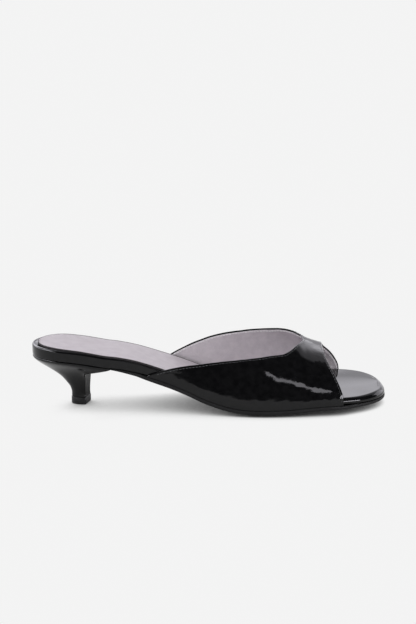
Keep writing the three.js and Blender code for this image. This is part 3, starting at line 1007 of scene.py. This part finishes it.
def sheet_grid(outer_depth, thickness, rim, count, dented):
    """Closed loops across the sheet's section: out, round the toe edge, back, round the throat."""
    turns = TURNS
    turn = turns[:, None]
    ends = cut_ends(turns)
    width = np.linalg.norm(ends[0][0] - ends[1][0], axis=1)
    radius = thickness / 2
    first = (rim + radius) / (width * ends[0][2])
    last = 1 - (rim + radius) / (width * ends[1][2])
    t = np.linspace(0, 1, count)
    eased = t - CROWDING * np.sin(2 * np.pi * t) / (2 * np.pi)
    share = first[:, None] + (last - first)[:, None] * eased[None, :]
    x = throat_x(turns)[:, None] + (toe_x(turns) - throat_x(turns))[:, None] * share
    turn_grid = np.broadcast_to(turn, x.shape)
    surface = last_point(x, turn_grid)
    normal = last_normal(x, turn_grid)
    sink = outer_depth + wall_lean(surface)
    sink = sink + (dents(surface, share, turn_grid) if dented else MEAN_DENT)
    outer = surface - normal * np.broadcast_to(sink, x.shape)[..., None]
    inner = outer - normal * thickness
    arcs = []
    for (_, away, _), column in ((ends[1], -1), (ends[0], 0)):
        out_normal = normal[:, column]
        centre = outer[:, column] - out_normal * radius
        angles = np.linspace(0, math.pi, ARC_POINTS + 2)[1:-1]
        if column == 0:
            angles = angles[::-1]
        arc = [centre + radius * (math.sin(a) * away + math.cos(a) * out_normal) for a in angles]
        arcs.append(np.stack(arc, 1))
    toe_arc, throat_arc = arcs
    return np.concatenate([outer, toe_arc, inner[:, ::-1], throat_arc], 1)


# %% A closed mesh from the loops
def sheet_mesh(name, loops, material):
    rows, cols = loops.shape[:2]
    points = loops.reshape(-1, 3)
    faces = list(map(tuple, grid_faces(rows, cols, around=True)))
    half = cols // 2 - ARC_POINTS
    cap = ARC_POINTS + 2
    for row in (0, rows - 1):
        outer = [row * cols + j for j in range(half)]
        inner = [row * cols + half + ARC_POINTS + (half - 1 - j) for j in range(half)]
        for a, b, c, d in zip(outer, outer[1:], inner[1:], inner):
            faces.append((a, b, c, d) if row == 0 else (d, c, b, a))
        toe_cap = [row * cols + half - 1 + j for j in range(cap)]
        throat_cap = [row * cols + (2 * half + ARC_POINTS - 1 + j) % cols for j in range(cap)]
        faces.extend([tuple(toe_cap), tuple(throat_cap)])
    piece = add_piece(name, points, faces, material, "upper")
    merge_points(piece, 1e-7)


# %% Make the patent and the lining
PATENT = 1.15
LINING_GAP = 0.02
LINING = UPPER_WALL - PATENT - 2 * LINING_GAP
FOLD = 0.8
patent_loops = sheet_grid(0.0, PATENT, 0.0, 120, True)
lining_loops = sheet_grid(PATENT + LINING_GAP, LINING, FOLD, 90, False)
print("patent", PATENT, "mm, lining", round(LINING, 2), "mm,", patent_loops.shape[1], "points a loop")
sheet_mesh("vamp_patent", patent_loops, upper_patent)
sheet_mesh("vamp_lining", lining_loops, lining_leather)

# %% [markdown]
# ## The heel
#
# A kitten heel starts as wide as the seat it carries and narrows fast to a stem. On the real shoe it
# is a moulded block with patent leather shrunk on. It could be a lofted curve or a subdivided block.
# Here it is a stack of closed loops: the lowest is the stem's section, round behind and flat in front,
# the highest is the seat's outline, and three curves say how soon the back, the sides and the front
# widen on the way up.

# %% The stem, the seat and the flare between them
STEM_LENGTH = 11.2
STEM_WIDTH = 12.4
STEM_BACK = 26
STEM_TURN = math.radians(15)
STEM_POWER = 2.4
BREAST_ANGLE = math.radians(53)
HEEL_INSET = 0.5
SIDE_STEPS = 90
FRONT_STEPS = 40

flare = columns(
    ("back", "side", "front"),
    [
        (0, 0, 0, 0),
        (0.08, 0, -0.01, -0.01),
        (0.2, 0.035, 0.03, -0.01),
        (0.34, 0.15, 0.11, 0),
        (0.48, 0.297, 0.22, 0.01),
        (0.6, 0.48, 0.35, 0.025),
        (0.7, 0.65, 0.49, 0.04),
        (0.78, 0.785, 0.64, 0.08),
        (0.83, 0.86, 0.75, 0.36),
        (0.9, 0.95, 0.9, 0.7),
        (0.935, 0.985, 0.965, 0.84),
        (0.965, 1, 1, 0.93),
        (1, 1, 1, 1),
    ],
)
print("half way up, the back has widened by", round(100 * float(flare["back"](0.5))), "percent")

# %% Closed loops of the stem and the seat
def close_loop(outer_side, inner_side):
    """A loop from the back along the outer side, across the front and back along the inner side."""
    s = np.linspace(0, 1, FRONT_STEPS + 1)[1:-1, None]
    front = outer_side[-1] * (1 - s) + inner_side[-1] * s
    return np.concatenate([outer_side, front, inner_side[:0:-1]])


def stem_loop(out=0.0):
    cos_breast = math.cos(BREAST_ANGLE) ** (2 / STEM_POWER)
    half_length = STEM_LENGTH / (1 + cos_breast)
    centre = STEM_BACK + half_length
    angle = np.pi - np.linspace(0, 1, SIDE_STEPS) * (np.pi - BREAST_ANGLE)
    cos = np.cos(angle)
    x = (half_length + out) * np.sign(cos) * np.abs(cos) ** (2 / STEM_POWER)
    y = (STEM_WIDTH / 2 + out) * np.maximum(np.sin(angle), 0) ** (2 / STEM_POWER)
    loop = close_loop(np.stack([x, -y], 1), np.stack([x, y], 1))
    cos_turn, sin_turn = math.cos(-STEM_TURN), math.sin(-STEM_TURN)
    turned = loop @ np.array([[cos_turn, sin_turn], [-sin_turn, cos_turn]])
    return turned + np.array([centre, 0])


def seat_loop():
    share = np.linspace(0, 1, SIDE_STEPS)
    x = HEEL_INSET + (FLANGE_END - HEEL_INSET) * (1 - np.cos(share * np.pi / 2))
    sides = []
    for side in (-1, 1):
        y = side * (half_width(x, side) - HEEL_INSET)
        y[0] = 0
        sides.append(np.stack([x, y], 1))
    return close_loop(*sides)


for label, loop in (("stem", stem_loop()), ("seat", seat_loop())):
    print(label, "loop of", np.round(np.ptp(loop, axis=0), 1), "mm")


# %% Round the corners of a loop
SOFT_CORNER = 0.45


def soften(loop, width):
    """Rounds a loop's corners by a moving average over width millimetres."""
    steps = np.linalg.norm(np.diff(loop, axis=0, append=loop[:1]), axis=1)
    length = np.concatenate([[0], np.cumsum(steps)])
    closed = np.concatenate([loop, loop[:1]])
    offsets = np.linspace(-width, width, 9)
    total = length[-1]
    out = np.zeros_like(loop)
    for offset in offsets:
        at = (length[:-1] + offset) % total
        for axis in range(loop.shape[1]):
            out[:, axis] += np.interp(at, length, closed[:, axis])
    return out / len(offsets)


rounded = soften(stem_loop(), SOFT_CORNER)
print("rounding moves the stem's corners by", round(float(np.abs(rounded - stem_loop()).max()), 2), "mm")

# %% [markdown]
# ### Loops between the stem and the seat
#
# Each loop between the two is a blend of them: its back points widen by one curve and its front points
# by another. Where back and front meet on the heel's sides, the blend alone would leave a crease that
# the glossy cover doesn't have. So the points there are relaxed: each moves to the mean of its four
# neighbours, many times, while the stem, the seat, the back and the breast stay where they are.

# %% Blend and relax the loops
SMOOTH_ROUNDS = 160
BLEND_REACH = 15
STEM_FADE = 0.1
SEAT_FADE = 0.06


def smooth_step(share):
    return share**2 * (3 - 2 * share)


def heel_loops():
    stem, seat = stem_loop(), seat_loop()
    stem_z = TOP_PIECE_HEIGHT + SEATING_GAP
    ahead = seat[:, 0] - stem[:, 0]
    forward_share = smooth_step(np.clip((ahead + BLEND_REACH) / (2 * BLEND_REACH), 0, 1))
    seat_z = outsole_top_z(seat[:, 0], 1.0)
    loops = []
    heights = np.concatenate([np.linspace(0, 0.8, 50), np.linspace(0.8, 1, 40)[1:]])
    for height in heights:
        soft_front = sum(flare["front"](height + step) for step in (-0.08, -0.04, 0, 0.04, 0.08)) / 5
        front = soft_front + (flare["front"](height) - soft_front) * forward_share**3
        along = flare["back"](height) * (1 - forward_share) + front * forward_share
        x = stem[:, 0] + (seat[:, 0] - stem[:, 0]) * along
        y = stem[:, 1] + (seat[:, 1] - stem[:, 1]) * flare["side"](height)
        z = stem_z + (seat_z - stem_z) * height
        loops.append(soften(np.stack([x, y, z], 1), SOFT_CORNER))
    grid = np.array(loops)
    height_share = np.clip(np.minimum(heights / STEM_FADE, (1 - heights) / SEAT_FADE), 0, 1)
    loose = (4 * forward_share * (1 - forward_share))[None, :, None] * height_share[:, None, None]
    for _ in range(SMOOTH_ROUNDS):
        around = np.roll(grid, 1, axis=1) + np.roll(grid, -1, axis=1)
        beside = grid[[0, *range(len(grid) - 1)]] + grid[[*range(1, len(grid)), len(grid) - 1]]
        grid = grid + 0.5 * loose * ((around + beside) / 4 - grid)
    return list(grid)


loops = heel_loops()
print(len(loops), "loops of", len(loops[0]), "points")

# %% [markdown]
# ### Cover the heel
#
# The cover is turned over the seat's edge in a small roll, which the top loops follow. It thins out
# towards the front of the flange, where the leather is pared to nothing. The breast, the flat front of
# the stem, is the last part to be covered and never gets the same shine, so its faces take the second
# material.

# %% Make the heel
def stack_mesh(name, loops, material, node_name):
    count = len(loops[0])
    points = np.concatenate(loops)
    faces = list(map(tuple, grid_faces(len(loops), count, around=True)))
    faces.append(tuple(range(count - 1, -1, -1)))
    faces.append(tuple(range((len(loops) - 1) * count, len(loops) * count)))
    piece = add_piece(name, points, faces, material, node_name)
    merge_points(piece, 1e-7)
    return piece


EDGE_ROLL = 0.7
ROLL_END = 50
ROLL_FADE = 6
LEAST_ROLL = 0.05
FACES_FORWARD = 0.55
UPRIGHT = 0.5
rolled = []
seat_middle = np.array([30, 0.2])
for angle in np.linspace(0.3, math.pi / 2, 5):
    top = loops[-1].copy()
    inward = unit(seat_middle - top[:, :2])
    size = EDGE_ROLL * np.clip((ROLL_END - top[:, 0]) / ROLL_FADE, LEAST_ROLL, 1)
    top[:, :2] += inward * (size * (1 - math.cos(angle)))[:, None]
    top[:, 2] += 0.02 - size * (1 - math.sin(angle))
    rolled.append(top)
kept = [loop for loop in loops[:-1] if (loop[:, 2] <= rolled[0][:, 2] + 1e-6).all()]
heel_cover = stack_mesh("heel_cover", kept + rolled, heel_patent, "heel")
heel_cover.data.materials.append(breast_leather)
breast = [
    face
    for face in heel_cover.data.polygons
    if face.normal.x > FACES_FORWARD and abs(face.normal.z) < UPRIGHT
]
for face in breast:
    face.material_index = 1
print(len(breast), "faces of the breast")

# %% [markdown]
# ### The top piece
#
# The small wearing piece under the stem is hard rubber, a hair wider than the stem and bevelled where
# it meets the floor, so that it doesn't chip. It uses the stem's own loop, moved out a little, so the
# two always fit. Six levels make its bevels.

# %% Make the top piece
LIP = 0.25
TIP_CORNER = 0.35
tip_levels = [(LIP - 0.5, 0), (LIP - 0.2, 0.12), (LIP, 0.5), (LIP, TOP_PIECE_HEIGHT - 0.5),
              (LIP - 0.1, TOP_PIECE_HEIGHT - 0.15), (-0.1, TOP_PIECE_HEIGHT)]
tip_loops = []
for out, z in tip_levels:
    loop = soften(stem_loop(out), TIP_CORNER)
    tip_loops.append(np.column_stack([loop, np.full(len(loop), z)]))
stack_mesh("heel_tip", tip_loops, tip_rubber, "top_piece")

# %% [markdown]
# ## Stitches
#
# One row of stitches holds the patent to the lining, a millimetre and a half inside each cut edge. A
# sewing machine uses two threads: here a black one shows on the patent and a pale one on the lining.
# Stitches could be painted into a texture, but they catch the light, and without them the edges read as
# plastic. So each is a short thread of its own that dives into a hole at both ends.

# %% The line beside an edge
def inside_edge(edge, other, turns, distance):
    """Points and normals on the upper's outer face, dents and all, at a distance inside a cut edge."""
    x = edge(turns)
    points = last_point(x, turns)
    tangent = unit(np.gradient(points, axis=0))
    step = last_point(0.98 * x + 0.02 * other(turns), turns) - points
    slant = np.linalg.norm(np.cross(tangent, unit(step)), axis=1)
    width = np.linalg.norm(last_point(other(turns), turns) - points, axis=1)
    share = distance / (width * np.maximum(slant, 0.2))
    inside = x + (other(turns) - x) * share
    surface, normal = last_point(inside, turns), last_normal(inside, turns)
    sink = wall_lean(surface) + dents(surface, share, turns)
    return surface - normal * sink[:, None], normal


stitch_line, _ = inside_edge(throat_x, toe_x, TURNS, 1.5)
line_length = np.linalg.norm(np.diff(stitch_line, axis=0), axis=1).sum()
print("the throat's stitch line is", round(float(line_length)), "mm long")

# %% One row of stitches
PITCH = 2.2
RING_POINTS = 8
STITCH_HALF = 0.36
LAST_TURN = 0.97


def stitch_row(name, edge, other, distance, depth, proud, material, thick):
    """Short threads under the face by depth, bowed out by proud, which is negative on the inner face."""
    turns = np.linspace(-LAST_TURN, LAST_TURN, 1600)
    points, normals = inside_edge(edge, other, turns, distance)
    length = np.concatenate([[0], np.cumsum(np.linalg.norm(np.diff(points, axis=0), axis=1))])
    count = int(length[-1] / PITCH)
    verts, faces = [], []
    offsets = np.linspace(-STITCH_HALF, STITCH_HALF, 7)
    for n in range(count):
        ends = []
        for offset in offsets:
            at = (n + 0.5 + offset) * PITCH
            p = np.array([np.interp(at, length, points[:, k]) for k in range(3)])
            q = unit(np.array([np.interp(at, length, normals[:, k]) for k in range(3)]))
            ends.append((p, q, offset))
        direction = unit(ends[-1][0] - ends[0][0])
        base = len(verts)
        for p, q, offset in ends:
            bow = math.sqrt(max(1 - (offset / (STITCH_HALF + 0.02)) ** 2, 0.02))
            radius = thick * (0.55 + 0.45 * bow)
            centre = p - q * (depth - proud * bow)
            aside = np.cross(direction, q)
            for k in range(RING_POINTS):
                a = 2 * math.pi * k / RING_POINTS
                verts.append(centre + radius * (math.cos(a) * aside + math.sin(a) * q))
        faces.extend(map(tuple, grid_faces(len(offsets), RING_POINTS, base, around=True)))
        last = len(verts) - RING_POINTS
        faces.append(tuple(base + k for k in range(RING_POINTS)))
        faces.append(tuple(last + k for k in range(RING_POINTS - 1, -1, -1)))
    print(name, count, "stitches")
    add_piece(name, np.array(verts), faces, material, "upper")


# %% Thread, and the four rows
def thread(name, color):
    material, shader = new_material(name, color, 0.35)
    add_bump(material, shader, [(noise_texture(material, 0.0002), 0.00003)])
    blend_colors(material, noise_texture(material, 0.001), tuple(0.8 * c for c in color), color,
                 shader.inputs["Base Color"])
    return material


# The thread on the patent side is black but drawn a lighter grey. Part of that grey is a painted glint on
# the stitches.
dark_thread_painted_glint = thread("dark_thread_painted_glint", (0.055, 0.055, 0.06))
# The lining's thread is pale, and it is drawn near white. The extra brightness is a painted highlight along
# the lining's edge.
pale_thread_painted_highlight = thread("pale_thread_painted_highlight", (0.93, 0.91, 0.925))
outer_row = (1.5, 0.06, 0.1, dark_thread_painted_glint, 0.2)
lining_row = (1.6, UPPER_WALL - 0.02, -0.1, pale_thread_painted_highlight, 0.27)
stitch_row("throat_stitches", throat_x, toe_x, *outer_row)
stitch_row("toe_stitches", toe_x, throat_x, *outer_row)
stitch_row("throat_lining_stitches", throat_x, toe_x, *lining_row)
stitch_row("toe_lining_stitches", toe_x, throat_x, *lining_row)

# %% [markdown]
# ## The studio
#
# A black mirror shows its surroundings and nothing else. The photograph tells what they were: a pale
# floor, a bright wall behind the shoe that ends well below the ceiling, darkness on the camera's side,
# and a few slim soft boxes in it. The even light of the whole room is the world's. It is hidden from
# glossy rays, because the mirror gets panels of its own.

# %% The even light of the room
ROOM_LIGHT = 0.9
REACH = 40

world = bpy.data.worlds.new("even_room")
world.use_nodes = True
world.node_tree.nodes["Background"].inputs["Color"].default_value = (1, 1, 1, 1)
world.node_tree.nodes["Background"].inputs["Strength"].default_value = ROOM_LIGHT
bpy.context.scene.world = world
world.cycles_visibility.glossy = False
bpy.context.scene.view_settings.view_transform = "Standard"
print("room light", ROOM_LIGHT)

# %% [markdown]
# ### Two floors in one place
#
# The studio floor has two jobs. It throws white light up under the shoe, and it is seen as a nearly
# white sheet with a soft shadow. One plain material can't do both: a floor bright enough to look white
# would be grey wherever the light falls off. So there are two sheets. One bounces light and the camera
# doesn't see it. The other is only seen, and glows by how open the sky is over each point, which the
# ambient occlusion node measures. Its normal leans back, so the shadow falls towards the camera, as in
# the photograph, and a ramp sets how dark the shadow gets.

# %% A floor sheet, and the one that bounces light
def floor_sheet(name, z, material):
    mesh = bpy.data.meshes.new(name)
    corners = [(-REACH, -REACH, z), (REACH, -REACH, z), (REACH, REACH, z), (-REACH, REACH, z)]
    mesh.from_pydata(corners, [], [(0, 1, 2, 3)])
    mesh.materials.append(material)
    sheet = bpy.data.objects.new(name, mesh)
    bpy.context.scene.collection.objects.link(sheet)
    return sheet


bounce_white, bounce_shader = new_material("bounce_white", (0.96, 0.96, 0.96), 0.9)
bounce_shader.inputs["Specular IOR Level"].default_value = 0.1
bounce_floor = floor_sheet("bounce_floor", -0.0003, bounce_white)
bounce_floor.visible_camera = False
print("the floor is", 2 * REACH, "m wide")

# %% The floor that is seen, its shadow painted into its glow
FLOOR_LEAN = math.radians(20)
SHADOW_REACH = 0.12
FLOOR_STOPS = [(0.0, 0.01), (0.2, 0.42), (0.52, 1.0)]
# The seen floor is a glowing sheet, not a lamp. Its shadow is painted shade: ambient occlusion dims the glow
# through the ramp.
floor_glow_painted_shadow = bpy.data.materials.new("floor_glow_painted_shadow")
floor_glow_painted_shadow.use_nodes = True
tree = floor_glow_painted_shadow.node_tree
tree.nodes.clear()
open_sky = tree.nodes.new("ShaderNodeAmbientOcclusion")
open_sky.samples = 16
open_sky.inputs["Distance"].default_value = SHADOW_REACH
ramp = tree.nodes.new("ShaderNodeValToRGB")
glow = tree.nodes.new("ShaderNodeEmission")
out = tree.nodes.new("ShaderNodeOutputMaterial")
lean_back = tree.nodes.new("ShaderNodeCombineXYZ")
lean_back.inputs["Y"].default_value = math.sin(FLOOR_LEAN)
lean_back.inputs["Z"].default_value = math.cos(FLOOR_LEAN)
tree.links.new(lean_back.outputs[0], open_sky.inputs["Normal"])
tree.links.new(open_sky.outputs["AO"], ramp.inputs[0])
tree.links.new(ramp.outputs["Color"], glow.inputs["Color"])
tree.links.new(glow.outputs[0], out.inputs[0])
glow.inputs["Strength"].default_value = ROOM_LIGHT
ramp.color_ramp.elements.new(FLOOR_STOPS[1][0])
for element, (at, value) in zip(ramp.color_ramp.elements, FLOOR_STOPS):
    element.position = at
    element.color = (value, value, value, 1)
seen_floor = floor_sheet("seen_floor", 0, floor_glow_painted_shadow)
seen_floor.visible_diffuse = False
seen_floor.visible_glossy = False
seen_floor.visible_transmission = False
seen_floor.visible_shadow = False
print("the floor's shadow reaches", round(SHADOW_REACH * 1000), "mm")

# %% [markdown]
# ### The light tent
#
# Round the shoe hangs a tent of cloth that only the gloss sees. Behind the shoe it is bright up to
# the middle of the sky, towards the camera it is nearly black. Two curves give its light, one by height
# and one by side, and each corner of the tent's grid keeps its own value, so one smooth sheet does the
# work of many lamps. Directions are given as azimuth, 0 behind the shoe and 90 past its toe, and
# elevation, in degrees.

# %% Light by direction
def direction(azimuth, elevation):
    a, e = math.radians(azimuth), math.radians(elevation)
    return Vector((math.sin(a) * math.cos(e), math.cos(a) * math.cos(e), math.sin(e)))


back_by_height = smooth_curve(
    (-2, 0, 9, 12, 15, 20, 26, 32, 38, 46, 54, 56, 62, 90),
    (0.6, 0.6, 0.7, 0.85, 1.3, 2.0, 2.7, 2.1, 1.3, 1.15, 1.1, 0.1, 0.08, 0.1),
)
back_by_side = smooth_curve((-180, -150, -125, -90, -60, -15, 2, 14, 22, 30, 58, 66, 72, 180),
                            (0.0, 0.0, 0.5, 1.5, 1.9, 1.8, 1, 1.05, 1.0, 0.6, 0.6, 0.3, 0.0, 0.0))
FRONT_DARK = 0.03


def tent_light(azimuth, elevation):
    return FRONT_DARK + back_by_side(azimuth) * back_by_height(elevation)


print("brightest behind the shoe:", round(float(tent_light(-60, 26)), 2), "towards the camera:", FRONT_DARK)

# %% A glowing sheet that only the gloss sees
LILAC_TRACE = (1, 0.985, 1.05)


def glowing_mesh(name, corners, faces, light):
    """A sheet with a light value at each corner."""
    mesh = bpy.data.meshes.new(name)
    mesh.from_pydata([tuple(c) for c in corners], [], faces)
    layer = mesh.color_attributes.new("light", "FLOAT_COLOR", "POINT")
    for item, value in zip(layer.data, light):
        item.color = (*(value * part for part in LILAC_TRACE), 1)
    material = bpy.data.materials.new(name)
    material.use_nodes = True
    tree = material.node_tree
    tree.nodes.clear()
    value = tree.nodes.new("ShaderNodeAttribute")
    value.attribute_name = "light"
    glow = tree.nodes.new("ShaderNodeEmission")
    out = tree.nodes.new("ShaderNodeOutputMaterial")
    tree.links.new(value.outputs["Color"], glow.inputs["Color"])
    tree.links.new(glow.outputs[0], out.inputs[0])
    mesh.materials.append(material)
    sheet = bpy.data.objects.new(name, mesh)
    bpy.context.scene.collection.objects.link(sheet)
    sheet.visible_camera = False
    sheet.visible_diffuse = False
    sheet.visible_transmission = False
    sheet.visible_shadow = False
    print(name, len(faces), "faces")


# %% Hang the tent
TENT_RADIUS = 12
azimuths = np.arange(-180, 180, 2)
elevations = np.arange(-2, 91, 1.5)
corners = [direction(a, e) * TENT_RADIUS for e in elevations for a in azimuths]
light = [float(tent_light(a, e)) for e in elevations for a in azimuths]
tent_faces = [tuple(map(int, f)) for f in grid_faces(len(elevations), len(azimuths), around=True)]
glowing_mesh("light_tent", corners, tent_faces, light)

# %% [markdown]
# ### Soft boxes
#
# What the tent can't show are the small bright marks: the long streak on the side of the vamp, the
# glint on the board's edge beside it, and the rims. Each is the mirror image of one box. Where a box
# must hang is found by following a ray from the camera to the mark and on from there. The streak is
# bent and grows wider to its end, so its box is a bent strip.

# %% Hang the boxes
BOX_DISTANCE = 6


def soft_box(name, corner_directions, light):
    corners = [direction(a, e) * BOX_DISTANCE for a, e in corner_directions]
    glowing_mesh(name, corners, [(0, 1, 2, 3)], [light] * 4)


def bent_box(name, centre_line, light):
    """A strip through rows of azimuth, elevation and half its width."""
    line = np.array(centre_line, float)
    along = np.gradient(line[:, :2], axis=0)
    aside = unit(np.stack([-along[:, 1], along[:, 0]], 1)) * line[:, 2:]
    ends = np.concatenate([line[:, :2] + aside, line[:, :2] - aside])
    count = len(line)
    faces = [(i, i + 1, count + i + 1, count + i) for i in range(count - 1)]
    glowing_mesh(name, [direction(a, e) * BOX_DISTANCE for a, e in ends], faces, [light] * (2 * count))


streak_line = [(171, 41, 1.0), (170, 36, 1.5), (167.5, 30, 1.9), (167, 26, 2.2), (164, 22.5, 2.8),
               (160, 22, 3.3), (156, 23, 2.6)]
bent_box("slim_box", streak_line, 5.5)
soft_box("right_box", [(144, -1), (121, -1), (121, 12), (144, 12)], 17)
soft_box("toe_glow", [(80, -1), (44, -1), (44, 33), (80, 33)], 2.6)
soft_box("low_glow", [(44, -1), (18, -1), (18, 15), (44, 15)], 1.5)
soft_box("rim_box", [(-80, 30), (-120, 30), (-120, 52), (-80, 52)], 12)
soft_box("left_box", [(-140, 8), (-122, 8), (-122, 34), (-140, 34)], 5)
